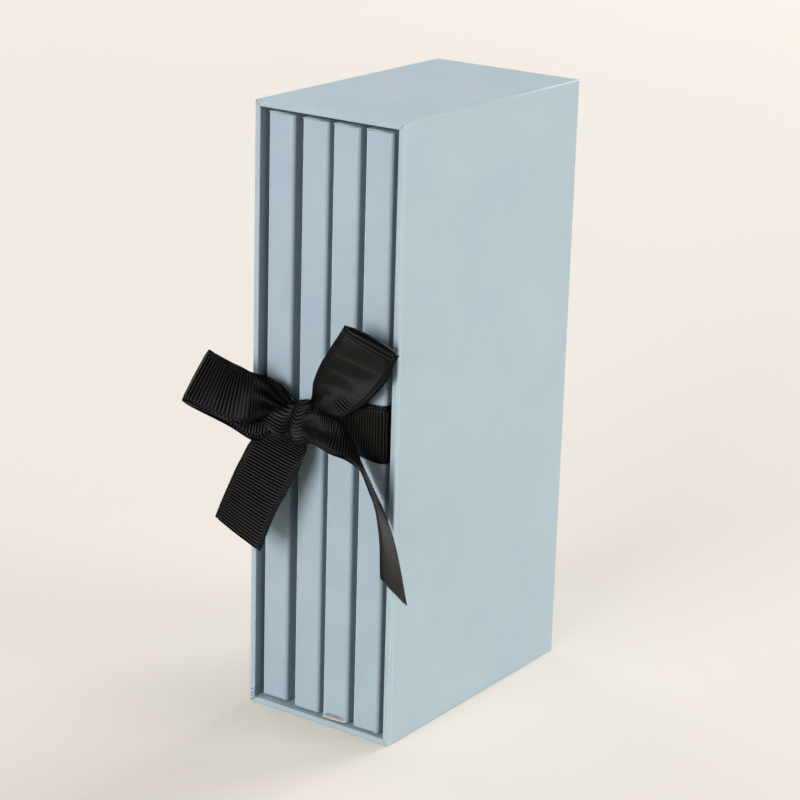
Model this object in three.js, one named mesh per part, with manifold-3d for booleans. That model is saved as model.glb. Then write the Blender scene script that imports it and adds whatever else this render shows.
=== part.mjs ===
// A gift set of chocolate bars: four thin tuck-end cartons stand side by side in an
// open-fronted slipcase, tied together with a ribbon whose bow hangs in front of the mouth.
// Units are millimetres. X runs along the narrow front, Y runs from the open front to the
// back, Z is up, and the origin is the centre of the slipcase's underside.
import * as THREE from "three";
import { mergeVertices } from "three/addons/utils/BufferGeometryUtils.js";
import Module from "manifold-3d";

const wasm = await Module();
wasm.setup();

// Chocolate bars
const barThickness = 6.0;
const barDepth = 77.0;
const barHeight = 160.0;
const barColumns = 4;
const barRows = 8;
const barGrooveDepth = 2.6;
const barGrooveWidth = 3.2;

// Foil round each bar
const foilThickness = 0.1;
const foilSlack = 0.3;
const foilEndFoldShare = 0.4;

// Cartons
const paperboard = 0.4;
const cartonHeadroom = 4.8;
const leftFoldRadius = 0.5;
const rightFoldRadius = 1.1;
const innerFoldShare = 0.25;
const foldSteps = 3;
const flapGap = 0.1;
const tuckLength = 13.0;
const tuckGap = 0.2;
const dustFlapLength = 18.0;
const tuckEndInset = 1.2;
const sprungSlitHeight = 1.3;

// How the cartons stand in the slipcase, from left to right
const cartonGaps = [1.3, 3.6, 2.1, 2.2, 2.4];
const cartonSetbacks = [2.2, 1.3, 0.9, 0.9];
const sprungCarton = 2;
const standingGap = 0.2;
const topGap = 1.1;
const backGap = 1.4;

// Slipcase
const greyboard = 1.5;
const coverPaper = 0.15;
const liningPaper = 0.15;
const turnIn = 15.0;

// Ribbon
const ribbonWidth = 16.0;
const ribbonThickness = 0.35;
const ribbonGap = 0.2;
const ribbonHeightShare = 0.515;
const bandBendRadius = 1.0;
const ribbonCutGap = 0.3;
const knotAcrossShare = -0.125;
const knotSizeShares = [0.42, 0.34, 0.6];
const frontSpreadShares = [1, 1, 1, 0.9, 0.65, 0.35];
const fullestGather = 2;
const stripSteps = 26;
const knotRings = 10;
const knotSides = 18;

// How far a cutting or joining shape runs past the shape that it works on
const overrun = 1.0;

// Sizes that follow
const cartonCount = cartonSetbacks.length;
const foilOuterThickness = barThickness + 2 * foilThickness;
const foilOuterDepth = barDepth + 2 * foilThickness;
const foilOuterHeight = barHeight + 2 * foilThickness;
const endThickness = 2 * paperboard + flapGap;
const cartonThickness = 3 * paperboard + tuckGap + 2 * foilSlack + foilOuterThickness;
const cartonDepth = 2 * paperboard + 2 * foilSlack + foilOuterDepth;
const cartonHeight = 2 * endThickness + foilSlack + foilOuterHeight + cartonHeadroom;
const wall = coverPaper + greyboard + Math.max(coverPaper, liningPaper);
const boardFace = coverPaper + greyboard;
const sum = (list) => list.reduce((total, value) => total + value, 0);
const caseWidth = 2 * wall + sum(cartonGaps) + cartonCount * cartonThickness;
const caseDepth = wall + backGap + cartonDepth + Math.max(...cartonSetbacks);
const caseHeight = 2 * wall + standingGap + cartonHeight + topGap;
const left = -caseWidth / 2;
const mouth = -caseDepth / 2;
const back = caseDepth / 2;
const cartonFloor = wall + standingGap;

// Materials
const finish = (color, roughness, metalness = 0) =>
  new THREE.MeshStandardMaterial({ color, roughness, metalness });
const coverPaperFinish = finish("#b3c4cc", 0.55);
const greyboardFinish = finish("#8d8a82", 0.95);
const cartonFinish = finish("#aabdc9", 0.5);
const foilFinish = finish("#c9ccd0", 0.3, 1);
const chocolateFinish = finish("#4a2a1a", 0.4);
const ribbonFinish = finish("#17171a", 0.6);

// Solid tools
function toSolid(geometry) {
  const bare = geometry.clone();
  bare.deleteAttribute("normal");
  bare.deleteAttribute("uv");
  const merged = mergeVertices(bare);
  return new wasm.Manifold(new wasm.Mesh({
    numProp: 3,
    vertProperties: new Float32Array(merged.attributes.position.array),
    triVerts: new Uint32Array(merged.index.array),
  }));
}

function toGeometry(solid) {
  const mesh = solid.getMesh();
  const geometry = new THREE.BufferGeometry();
  geometry.setAttribute("position", new THREE.BufferAttribute(mesh.vertProperties, 3));
  geometry.setIndex(new THREE.BufferAttribute(mesh.triVerts, 1));
  geometry.computeVertexNormals();
  return geometry;
}

// A box given by its lowest and highest corners
function block([x0, y0, z0], [x1, y1, z1]) {
  const geometry = new THREE.BoxGeometry(x1 - x0, y1 - y0, z1 - z0);
  return geometry.translate((x0 + x1) / 2, (y0 + y1) / 2, (z0 + z1) / 2);
}

function blockSolid(low, high) {
  return toSolid(block(low, high));
}

// Turns a geometry's local axes to the given ones, and keeps its faces pointing out
function orient(geometry, xAxis, yAxis, zAxis, origin) {
  const matrix = new THREE.Matrix4().makeBasis(
    new THREE.Vector3(...xAxis), new THREE.Vector3(...yAxis), new THREE.Vector3(...zAxis));
  matrix.setPosition(...origin);
  const turned = mergeVertices(geometry.clone().deleteAttribute("normal").deleteAttribute("uv"));
  turned.applyMatrix4(matrix);
  if (matrix.determinant() < 0) {
    const index = turned.index.array;
    for (let i = 0; i < index.length; i += 3) {
      [index[i], index[i + 1]] = [index[i + 1], index[i]];
    }
  }
  turned.computeVertexNormals();
  return turned;
}

// A closed strip between two edges. Each station is a pair of points, one on each edge, and
// the strip grows thicker where its edges are gathered closer than the ribbon's width.
function ribbonStrip(stations) {
  const edgeA = new THREE.CatmullRomCurve3(stations.map(([a]) => a), false, "centripetal");
  const edgeB = new THREE.CatmullRomCurve3(stations.map(([, b]) => b), false, "centripetal");
  const positions = [];
  const index = [];
  for (let i = 0; i <= stripSteps; i += 1) {
    const t = i / stripSteps;
    const a = edgeA.getPoint(t);
    const b = edgeB.getPoint(t);
    const across = b.clone().sub(a);
    const run = edgeA.getTangent(t).add(edgeB.getTangent(t));
    const normal = run.cross(across).normalize();
    const gathered = Math.min(Math.max(ribbonWidth / across.length(), 1), fullestGather);
    const half = normal.multiplyScalar(ribbonThickness * gathered / 2);
    [a.clone().sub(half), b.clone().sub(half), b.clone().add(half), a.clone().add(half)]
      .forEach((point) => positions.push(point.x, point.y, point.z));
  }
  for (let i = 0; i < stripSteps; i += 1) {
    for (let side = 0; side < 4; side += 1) {
      const here = 4 * i + side;
      const next = 4 * i + (side + 1) % 4;
      index.push(here, next, next + 4, here, next + 4, here + 4);
    }
  }
  const last = 4 * stripSteps;
  index.push(0, 2, 1, 0, 3, 2, last, last + 1, last + 2, last, last + 2, last + 3);
  const geometry = new THREE.BufferGeometry();
  geometry.setAttribute("position", new THREE.Float32BufferAttribute(positions, 3));
  geometry.setIndex(index);
  return geometry;
}

const part = new THREE.Group();

function addPiece(name, geometry, material, position = [0, 0, 0]) {
  const mesh = new THREE.Mesh(geometry, material);
  mesh.name = name;
  mesh.position.set(...position);
  part.add(mesh);
  return mesh;
}

// Slipcase walls. A cover paper lies on the outside of its greyboard, wraps the board's
// front edge and turns in behind it, and its ends are mitred where it meets its neighbours.
function coverPaperStrip(length) {
  const outline = new THREE.Shape([
    [0, 0],
    [boardFace + coverPaper, 0],
    [boardFace + coverPaper, turnIn],
    [boardFace, turnIn],
    [boardFace, coverPaper],
    [coverPaper, coverPaper],
    [coverPaper, caseDepth - coverPaper],
    [0, caseDepth - coverPaper],
  ].map(([inward, deep]) => new THREE.Vector2(inward, deep)));
  const geometry = new THREE.ExtrudeGeometry(outline, { depth: length, bevelEnabled: false });
  const points = geometry.attributes.position;
  for (let i = 0; i < points.count; i += 1) {
    const mitre = points.getX(i);
    points.setZ(i, points.getZ(i) > 0 ? length - mitre : mitre);
  }
  return geometry;
}

function addSlipcase() {
  const right = left + caseWidth;
  const sideStrip = coverPaperStrip(caseHeight);
  const endStrip = coverPaperStrip(caseWidth);
  const covers = {
    left: orient(sideStrip, [1, 0, 0], [0, 1, 0], [0, 0, 1], [left, mouth, 0]),
    right: orient(sideStrip, [-1, 0, 0], [0, 1, 0], [0, 0, 1], [right, mouth, 0]),
    bottom: orient(endStrip, [0, 0, 1], [0, 1, 0], [1, 0, 0], [left, mouth, 0]),
    top: orient(endStrip, [0, 0, -1], [0, 1, 0], [1, 0, 0], [left, mouth, caseHeight]),
    back: block([left, back - coverPaper, 0], [right, back, caseHeight]),
  };
  const front = mouth + coverPaper;
  const rear = back - coverPaper;
  const boards = {
    left: block([left + coverPaper, front, coverPaper], [left + boardFace, rear, caseHeight - coverPaper]),
    right: block([right - boardFace, front, coverPaper], [right - coverPaper, rear, caseHeight - coverPaper]),
    bottom: block([left + boardFace, front, coverPaper], [right - boardFace, rear, boardFace]),
    top: block([left + boardFace, front, caseHeight - boardFace],
      [right - boardFace, rear, caseHeight - coverPaper]),
    back: block([left + boardFace, back - boardFace, boardFace],
      [right - boardFace, rear, caseHeight - boardFace]),
  };
  const lined = boardFace + liningPaper;
  const start = mouth + turnIn;
  const end = back - boardFace;
  const linings = {
    left: block([left + boardFace, start, boardFace], [left + lined, end, caseHeight - boardFace]),
    right: block([right - lined, start, boardFace], [right - boardFace, end, caseHeight - boardFace]),
    bottom: block([left + lined, start, boardFace], [right - lined, end, lined]),
    top: block([left + lined, start, caseHeight - lined], [right - lined, end, caseHeight - boardFace]),
    back: block([left + lined, back - lined, lined], [right - lined, end, caseHeight - lined]),
  };
  for (const side of ["left", "right", "bottom", "top", "back"]) {
    addPiece(`${side}_greyboard`, boards[side], greyboardFinish);
    addPiece(`${side}_cover_paper`, covers[side], coverPaperFinish);
    addPiece(`${side}_lining_paper`, linings[side], coverPaperFinish);
  }
}

// Cartons. Every piece of a carton is drawn with the carton's lower left front corner at zero.
const sleeveFloor = paperboard;
const sleeveTop = cartonHeight - paperboard;

function foldedOutline(inset) {
  const x0 = inset;
  const x1 = cartonThickness - inset;
  const y0 = inset;
  const y1 = cartonDepth - inset;
  const corner = (radius) => Math.max(radius - inset, innerFoldShare * paperboard);
  const crisp = corner(leftFoldRadius);
  const soft = corner(rightFoldRadius);
  const outline = new THREE.Path();
  outline.moveTo(x0 + crisp, y0);
  outline.lineTo(x1 - soft, y0);
  outline.absarc(x1 - soft, y0 + soft, soft, -Math.PI / 2, 0);
  outline.lineTo(x1, y1 - soft);
  outline.absarc(x1 - soft, y1 - soft, soft, 0, Math.PI / 2);
  outline.lineTo(x0 + crisp, y1);
  outline.absarc(x0 + crisp, y1 - crisp, crisp, Math.PI / 2, Math.PI);
  outline.lineTo(x0, y0 + crisp);
  outline.absarc(x0 + crisp, y0 + crisp, crisp, Math.PI, 3 * Math.PI / 2);
  return outline;
}

// The four folded panels and the dust flaps that fold in at both ends are one piece of board
function sleeve(isSprung) {
  const shape = new THREE.Shape(foldedOutline(0).getPoints(foldSteps));
  shape.holes.push(new THREE.Path(foldedOutline(paperboard).getPoints(foldSteps)));
  const tube = new THREE.ExtrudeGeometry(shape, { depth: sleeveTop - sleeveFloor, bevelEnabled: false });
  let solid = toSolid(tube.translate(0, 0, sleeveFloor));
  const flapLeft = paperboard + flapGap;
  const flapRight = cartonThickness - 2 * paperboard - tuckGap - flapGap;
  const lip = paperboard / 2;
  const ends = [paperboard + flapGap, cartonHeight - endThickness];
  for (const floor of ends) {
    const isOpenedEnd = isSprung && floor < cartonHeight / 2;
    if (!isOpenedEnd) {
      solid = solid.add(blockSolid([flapLeft, lip, floor],
        [flapRight, dustFlapLength, floor + paperboard]));
    }
    solid = solid.add(blockSolid([flapLeft, cartonDepth - dustFlapLength, floor],
      [flapRight, cartonDepth - lip, floor + paperboard]));
  }
  if (isSprung) {
    solid = solid.subtract(blockSolid([paperboard, -overrun, sleeveFloor - overrun],
      [cartonThickness - rightFoldRadius, paperboard + lip, sleeveFloor + sprungSlitHeight]));
  }
  return toGeometry(solid);
}

// An end panel lies over the end of the sleeve, and its tuck folds in behind the right side
function endFlap() {
  const tuckRight = cartonThickness - paperboard - tuckGap;
  const panel = blockSolid([0, 0, 0], [cartonThickness, cartonDepth, paperboard]);
  const tuck = blockSolid([tuckRight - paperboard, paperboard + tuckEndInset, paperboard / 2],
    [tuckRight, cartonDepth - paperboard - tuckEndInset, paperboard + tuckLength]);
  return panel.add(tuck);
}

function bottomFlap() {
  return toGeometry(endFlap());
}

function topFlap() {
  return toGeometry(endFlap().mirror([0, 0, 1]).translate([0, 0, cartonHeight]));
}

// Foil wrapped round the bar, with its ends folded over in two lips that don't quite meet
function foil() {
  const [x, y, z] = [foilOuterThickness, foilOuterDepth, foilOuterHeight];
  const t = foilThickness;
  const lip = foilEndFoldShare * foilOuterThickness;
  const cavity = blockSolid([t, t, t], [x - t, y - t, z - t]);
  const slit = blockSolid([lip, t, -overrun], [x - lip, y - t, z + overrun]);
  return toGeometry(blockSolid([0, 0, 0], [x, y, z]).subtract(cavity).subtract(slit));
}

// A moulded bar with V grooves between its squares
function chocolateBar() {
  const groove = (length) => {
    const reach = barGrooveWidth / 2 * (barGrooveDepth + overrun) / barGrooveDepth;
    const outline = new THREE.Shape([
      new THREE.Vector2(-reach, overrun),
      new THREE.Vector2(0, -barGrooveDepth),
      new THREE.Vector2(reach, overrun),
    ]);
    const cut = new THREE.ExtrudeGeometry(outline, { depth: length + 2 * overrun, bevelEnabled: false });
    return cut.translate(0, 0, -overrun);
  };
  let solid = blockSolid([0, 0, 0], [barThickness, barDepth, barHeight]);
  for (let column = 1; column < barColumns; column += 1) {
    const y = barDepth * column / barColumns;
    const cut = orient(groove(barHeight), [0, 1, 0], [1, 0, 0], [0, 0, 1], [barThickness, y, 0]);
    solid = solid.subtract(toSolid(cut));
  }
  for (let row = 1; row < barRows; row += 1) {
    const z = barHeight * row / barRows;
    const cut = orient(groove(barDepth), [0, 0, 1], [1, 0, 0], [0, 1, 0], [barThickness, 0, z]);
    solid = solid.subtract(toSolid(cut));
  }
  return toGeometry(solid);
}

function cartonLeft(place) {
  return left + wall + sum(cartonGaps.slice(0, place + 1)) + place * cartonThickness;
}

function addCartons() {
  const foilAt = [paperboard + foilSlack, paperboard + foilSlack, endThickness + foilSlack];
  cartonSetbacks.forEach((setback, place) => {
    const corner = [cartonLeft(place), mouth + setback, cartonFloor];
    const inside = corner.map((value, axis) => value + foilAt[axis]);
    const name = `carton_${place + 1}`;
    addPiece(`${name}_sleeve`, sleeve(place === sprungCarton), cartonFinish, corner);
    addPiece(`${name}_top_flap`, topFlap(), cartonFinish, corner);
    addPiece(`${name}_bottom_flap`, bottomFlap(), cartonFinish, corner);
    addPiece(`${name}_foil`, foil(), foilFinish, inside);
    const bar = inside.map((value) => value + foilThickness);
    addPiece(`${name}_chocolate_bar`, chocolateBar(), chocolateFinish, bar);
  });
}

// Ribbon. It goes round all the cartons inside the slipcase and is tied in a bow in front.
const bandLeft = cartonLeft(0) - ribbonGap;
const bandRight = cartonLeft(cartonCount - 1) + cartonThickness + ribbonGap;
const bandFront = mouth + Math.min(...cartonSetbacks) - ribbonGap;
const bandBack = mouth + Math.max(...cartonSetbacks) + cartonDepth + ribbonGap;
const bandTurn = bandFront + 2 * bandBendRadius;
const bandLow = ribbonHeightShare * caseHeight - ribbonWidth / 2;
const knotHalf = knotSizeShares.map((share) => share * ribbonWidth / 2);
const knotAt = new THREE.Vector3(knotAcrossShare * caseWidth,
  bandFront - ribbonThickness - knotHalf[1] - ribbonCutGap, ribbonHeightShare * caseHeight);

// The bow's edges, from the knot outwards, as shares of the ribbon's width from the knot.
// Each pair is one point on the upper or left edge and the one across from it.
const leftLoopShares = [
  [[-0.10, -0.20, 0.30], [-0.06, -0.28, 0.00]],
  [[-0.45, -0.34, 0.50], [-0.25, -0.60, 0.02]],
  [[-0.78, -0.40, 0.67], [-0.55, -0.82, 0.03]],
  [[-1.08, -0.48, 0.88], [-1.05, -1.06, 0.13]],
  [[-1.46, -0.58, 1.04], [-1.53, -1.20, 0.29]],
  [[-1.35, -0.38, 0.92], [-1.25, -0.95, 0.08]],
  [[-1.12, -0.16, 0.72], [-0.98, -0.62, -0.16]],
  [[-0.86, -0.04, 0.62], [-0.66, -0.44, -0.32]],
  [[-0.50, 0.02, 0.50], [-0.42, -0.06, -0.22]],
  [[-0.10, 0.06, 0.20], [-0.10, 0.04, -0.08]],
];
const rightLoopShares = [
  [[0.10, -0.02, 0.24], [0.12, -0.02, 0.04]],
  [[0.30, -0.14, 0.42], [0.68, -0.04, 0.08]],
  [[0.45, -0.26, 0.80], [1.28, -0.03, 0.46]],
  [[0.64, -0.37, 1.16], [1.60, -0.04, 0.78]],
  [[0.97, -0.47, 1.50], [1.88, -0.04, 1.12]],
  [[1.28, -0.50, 1.95], [2.06, -0.08, 1.50]],
  [[1.15, -0.22, 1.81], [1.90, 0.06, 1.36]],
  [[0.80, -0.08, 1.42], [1.62, 0.10, 0.98]],
  [[0.52, 0.02, 0.98], [1.28, 0.12, 0.56]],
  [[0.34, 0.07, 0.58], [0.80, 0.12, 0.24]],
  [[0.12, 0.09, 0.24], [0.14, 0.10, 0.06]],
];
const leftTailShares = [
  [[0.00, -0.08, -0.08], [0.10, 0.00, -0.14]],
  [[-0.30, -0.19, -0.21], [0.25, -0.09, -0.38]],
  [[-0.72, -0.28, -0.42], [0.26, -0.22, -0.67]],
  [[-0.94, -0.36, -0.83], [0.09, -0.31, -1.09]],
  [[-1.15, -0.44, -1.34], [-0.13, -0.45, -1.62]],
  [[-1.37, -0.51, -1.93], [-0.35, -0.55, -2.30]],
];
const rightTailShares = [
  [[0.12, -0.14, -0.14], [0.14, -0.14, 0.02]],
  [[0.55, -0.40, -0.18], [0.48, -0.20, 0.28]],
  [[0.85, -0.62, -0.15], [0.75, -0.25, 0.30]],
  [[1.24, -0.75, -0.17], [0.98, -0.22, 0.24]],
  [[1.53, -0.78, -0.18], [1.06, -0.12, 0.07]],
  [[1.68, -0.74, -0.24], [1.12, 0.02, -0.16]],
  [[1.79, -0.69, -0.32], [1.20, 0.08, -0.43]],
  [[1.95, -0.68, -0.60], [1.48, 0.10, -0.92]],
  [[2.09, -0.68, -0.91], [1.73, 0.10, -1.30]],
  [[2.19, -0.68, -1.33], [1.97, 0.10, -1.83]],
  [[2.24, -0.68, -2.09], [2.25, 0.08, -2.81]],
];

const bowPoint = ([x, y, z]) => new THREE.Vector3(x, y, z).multiplyScalar(ribbonWidth).add(knotAt);

function knotShape(grow) {
  const ball = new THREE.SphereGeometry(1, knotSides, knotRings);
  const [x, y, z] = knotHalf.map((half) => half + grow);
  return ball.scale(x, y, z).translate(...knotAt.toArray());
}

// A strip keeps clear of the knot, and only the stretch outside it is kept
function clearOfKnot(stations) {
  const pieces = toSolid(ribbonStrip(stations)).subtract(toSolid(knotShape(ribbonCutGap))).decompose();
  const size = (piece) => piece.volume();
  return toGeometry(pieces.reduce((best, piece) => (size(piece) > size(best) ? piece : best)));
}

// From a side of the cartons, round their front corner and along the front to behind the knot
function bandToKnot(sideX, inward) {
  const midX = sideX - inward * ribbonThickness / 2;
  const frontY = bandFront - ribbonThickness / 2;
  const endX = knotAt.x - inward * ribbonCutGap / 2;
  const route = [
    [midX, bandTurn],
    [midX, bandFront + bandBendRadius],
    [sideX + inward * bandBendRadius, frontY],
    [(2 * sideX + endX) / 3, frontY],
    [(sideX + 2 * endX) / 3, frontY],
    [endX, frontY],
  ];
  return ribbonStrip(route.map(([x, y], place) => [1, -1].map((sign) =>
    new THREE.Vector3(x, y, knotAt.z + sign * frontSpreadShares[place] * ribbonWidth / 2))));
}

function bandSide(insideX, outsideX) {
  return block([Math.min(insideX, outsideX), bandTurn + ribbonCutGap, bandLow],
    [Math.max(insideX, outsideX), bandBack - bandBendRadius, bandLow + ribbonWidth]);
}

function bandBehind() {
  const outline = new THREE.Shape();
  const r = bandBendRadius;
  const t = ribbonThickness;
  outline.moveTo(bandLeft, bandBack - r);
  outline.absarc(bandLeft + r, bandBack - r, r, Math.PI, Math.PI / 2, true);
  outline.lineTo(bandRight - r, bandBack);
  outline.absarc(bandRight - r, bandBack - r, r, Math.PI / 2, 0, true);
  outline.lineTo(bandRight + t, bandBack - r);
  outline.absarc(bandRight - r, bandBack - r, r + t, 0, Math.PI / 2);
  outline.lineTo(bandLeft + r, bandBack + t);
  outline.absarc(bandLeft + r, bandBack - r, r + t, Math.PI / 2, Math.PI);
  const settings = { depth: ribbonWidth, bevelEnabled: false, curveSegments: foldSteps };
  return new THREE.ExtrudeGeometry(outline, settings).translate(0, 0, bandLow);
}

function addRibbon() {
  const bow = (shares) => clearOfKnot(shares.map((pair) => pair.map(bowPoint)));
  addPiece("ribbon_band_left", bandSide(bandLeft, bandLeft - ribbonThickness), ribbonFinish);
  addPiece("ribbon_band_right", bandSide(bandRight, bandRight + ribbonThickness), ribbonFinish);
  addPiece("ribbon_band_back", bandBehind(), ribbonFinish);
  addPiece("ribbon_band_front_left", bandToKnot(bandLeft, 1), ribbonFinish);
  addPiece("ribbon_band_front_right", bandToKnot(bandRight, -1), ribbonFinish);
  addPiece("ribbon_knot", knotShape(0), ribbonFinish);
  addPiece("ribbon_left_loop", bow(leftLoopShares), ribbonFinish);
  addPiece("ribbon_right_loop", bow(rightLoopShares), ribbonFinish);
  addPiece("ribbon_left_tail", bow(leftTailShares), ribbonFinish);
  addPiece("ribbon_right_tail", bow(rightTailShares), ribbonFinish);
}

addSlipcase();
addCartons();
addRibbon();

export default part;
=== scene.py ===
import math

import bmesh
import bpy
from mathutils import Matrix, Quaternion, Vector, noise


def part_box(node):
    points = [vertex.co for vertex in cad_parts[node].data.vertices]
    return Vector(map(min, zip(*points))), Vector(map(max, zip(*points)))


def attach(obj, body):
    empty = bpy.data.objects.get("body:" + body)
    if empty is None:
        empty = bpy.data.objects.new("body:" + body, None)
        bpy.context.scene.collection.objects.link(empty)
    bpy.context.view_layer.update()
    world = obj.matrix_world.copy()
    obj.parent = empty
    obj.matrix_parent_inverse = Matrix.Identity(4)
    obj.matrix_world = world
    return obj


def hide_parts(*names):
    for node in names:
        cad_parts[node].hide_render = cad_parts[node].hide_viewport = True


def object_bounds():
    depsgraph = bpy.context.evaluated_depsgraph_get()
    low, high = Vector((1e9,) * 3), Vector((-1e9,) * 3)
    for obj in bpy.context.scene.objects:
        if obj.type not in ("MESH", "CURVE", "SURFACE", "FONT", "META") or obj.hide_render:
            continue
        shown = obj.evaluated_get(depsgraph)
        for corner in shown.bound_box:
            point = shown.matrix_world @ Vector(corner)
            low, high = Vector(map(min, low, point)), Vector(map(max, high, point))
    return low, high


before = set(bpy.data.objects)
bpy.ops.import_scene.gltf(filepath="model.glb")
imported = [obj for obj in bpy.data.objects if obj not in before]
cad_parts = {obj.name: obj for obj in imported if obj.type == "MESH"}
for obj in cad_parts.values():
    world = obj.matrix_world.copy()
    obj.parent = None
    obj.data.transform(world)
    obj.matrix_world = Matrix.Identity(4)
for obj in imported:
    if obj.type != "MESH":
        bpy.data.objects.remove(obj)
cadLow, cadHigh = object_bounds()
mm = 0.001
touching = 0.001 * mm  # points closer than this are at one place
cartonCount = 4
walls = ("left", "right", "bottom", "top", "back")
print("frame: %d nodes" % len(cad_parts))


# Camera, where the photograph was taken from
cameraPlace = {
    "position": Vector((375.2, -542.2, 296.2)) * mm,
    "azimuth": math.radians(35.0),
    "elevation": math.radians(17.855),
    "roll": math.radians(1.618),
    "lens": 111.24,
    "sensor": 36.0,
}


def addCamera():
    place = cameraPlace
    back = Vector((
        math.sin(place["azimuth"]) * math.cos(place["elevation"]),
        -math.cos(place["azimuth"]) * math.cos(place["elevation"]),
        math.sin(place["elevation"]),
    ))
    data = bpy.data.cameras.new("studioCamera")
    data.lens = place["lens"]
    data.sensor_width = place["sensor"]
    camera = bpy.data.objects.new("studioCamera", data)
    camera.rotation_mode = "QUATERNION"
    turn = (-back).to_track_quat("-Z", "Y")
    camera.rotation_quaternion = turn @ Quaternion((0, 0, 1), place["roll"])
    camera.location = place["position"]
    bpy.context.scene.collection.objects.link(camera)
    bpy.context.scene.camera = camera


addCamera()
print("camera placed")


# Materials, and the values of their patterns
finish = {
    "mottleFrom": 0.32,
    "mottleTo": 0.68,
    "crackSize": 0.9 * mm,
    "crackStrength": 1.6,
    "foilFacet": 5 * mm,
    "foilDepth": 0.3 * mm,
    "paintedRibShadeTo": 0.6,
    "threadPitch": 0.3 * mm,
    "threadDepth": 0.03 * mm,
}


def linear(hexColour):
    channels = [int(hexColour[i:i + 2], 16) / 255 for i in (1, 3, 5)]
    return [c / 12.92 if c <= 0.04045 else ((c + 0.055) / 1.055) ** 2.4 for c in channels] + [1.0]


def addNode(tree, kind, values=(), links=(), **settings):
    node = tree.nodes.new("ShaderNode" + kind)
    for name, value in settings.items():
        setattr(node, name, value)
    for name, value in dict(values).items():
        node.inputs[name].default_value = value
    for name, socket in dict(links).items():
        tree.links.new(socket, node.inputs[name])
    return node


def newMaterial(name, values):
    material = bpy.data.materials.new(name)
    material.use_nodes = True
    shader = material.node_tree.nodes["Principled BSDF"]
    for socket, value in values.items():
        shader.inputs[socket].default_value = value
    return material, material.node_tree, shader


# Colour that drifts softly between two tones, as printed paper and board do
def mottle(tree, shader, place, light, dark, size, detail):
    patches = addNode(tree, "TexNoise", {"Scale": 1 / size, "Detail": detail, "Roughness": 0.55},
                      {"Vector": place})
    tones = addNode(tree, "ValToRGB", links={"Fac": patches.outputs["Fac"]})
    tones.color_ramp.elements[0].position = finish["mottleFrom"]
    tones.color_ramp.elements[0].color = linear(dark)
    tones.color_ramp.elements[1].position = finish["mottleTo"]
    tones.color_ramp.elements[1].color = linear(light)
    tree.links.new(tones.outputs["Color"], shader.inputs["Base Color"])
    return tones


def fibreBump(tree, shader, place, size, depth, strength):
    fibres = addNode(tree, "TexNoise", {"Scale": 1 / size, "Detail": 3.0, "Roughness": 0.6},
                     {"Vector": place})
    bump = addNode(tree, "Bump", {"Strength": strength, "Distance": depth},
                   {"Height": fibres.outputs["Fac"]})
    tree.links.new(bump.outputs["Normal"], shader.inputs["Normal"])


# Paler along folds, in small cracks, on top of the given tones: partly rubbed ink, partly painted
# highlight. Then darker where the second mask is set: painted shade.
def foldWearHighlightAndShade(tree, shader, place, tones, paleColour, paintedShadeColour):
    wearAndHighlight = addNode(tree, "Attribute", attribute_name="foldWearAndHighlight")
    cracks = addNode(tree, "TexNoise", {"Scale": 1 / finish["crackSize"], "Detail": 2.0},
                     {"Vector": place})
    amount = addNode(tree, "Math", {1: finish["crackStrength"]}, {0: cracks.outputs["Fac"]},
                     operation="MULTIPLY")
    reach = addNode(tree, "Math", {}, {0: wearAndHighlight.outputs["Fac"], 1: amount.outputs["Value"]},
                    operation="MULTIPLY")
    paler = addNode(tree, "Mix", {}, {0: reach.outputs["Value"], 6: tones.outputs["Color"]},
                    data_type="RGBA")
    paler.inputs[7].default_value = linear(paleColour)
    # Painted shade: this mask darkens the cover's mitres, its creases and the inside of its mouth
    paintedShade = addNode(tree, "Attribute", attribute_name="paintedShadeAmount")
    darker = addNode(tree, "Mix", {}, {0: paintedShade.outputs["Fac"], 6: paler.outputs[2]}, data_type="RGBA")
    darker.inputs[7].default_value = linear(paintedShadeColour)
    tree.links.new(darker.outputs[2], shader.inputs["Base Color"])


# Soft-touch laminated printed paper: even pale colour, a wide soft highlight, faint fibre
def makeCoverPaper():
    material, tree, shader = newMaterial("softTouchPrintedPaper", {
        "Roughness": 0.52, "IOR": 1.45, "Specular IOR Level": 0.42,
        "Sheen Weight": 0.06, "Sheen Roughness": 0.5,
    })
    place = addNode(tree, "TexCoord").outputs["Object"]
    tones = mottle(tree, shader, place, "#B4C6CC", "#AFC1C8", 16 * mm, 3.0)
    # Pale: worn ink and painted highlight on folds; dark teal: painted shade in mitres, creases and the
    # mouth
    foldWearHighlightAndShade(tree, shader, place, tones, "#E2EDF2", "#1F4B5E")
    fibreBump(tree, shader, place, 0.55 * mm, 0.02 * mm, 0.35)
    return material


# Printed folding boxboard: satin ink on a smooth coat, painted paler where it is folded: partly cracked
# ink, partly painted highlight
def makeCartonBoard():
    material, tree, shader = newMaterial("printedFoldingBoxboard", {
        "Roughness": 0.46, "IOR": 1.47, "Specular IOR Level": 0.45,
    })
    place = addNode(tree, "TexCoord").outputs["Object"]
    tones = mottle(tree, shader, place, "#AEC0CA", "#A8BBC6", 11 * mm, 3.0)
    # Pale: cracked ink and painted highlight on folds and along the top edges
    foldWearHighlightAndShade(tree, shader, place, tones, "#DCE6EC", "#5A6C76")
    fibreBump(tree, shader, place, 0.4 * mm, 0.015 * mm, 0.3)
    return material


# The bare inside and cut edge of that board: white, fully matt, a little fibrous
def makeWhiteBoard():
    material, tree, shader = newMaterial("uncoatedWhiteBoard", {
        "Roughness": 0.9, "IOR": 1.45, "Specular IOR Level": 0.25,
    })
    place = addNode(tree, "TexCoord").outputs["Object"]
    mottle(tree, shader, place, "#EEEBE8", "#E2DFDB", 1.2 * mm, 4.0)
    fibreBump(tree, shader, place, 0.25 * mm, 0.03 * mm, 0.5)
    return material


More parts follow.
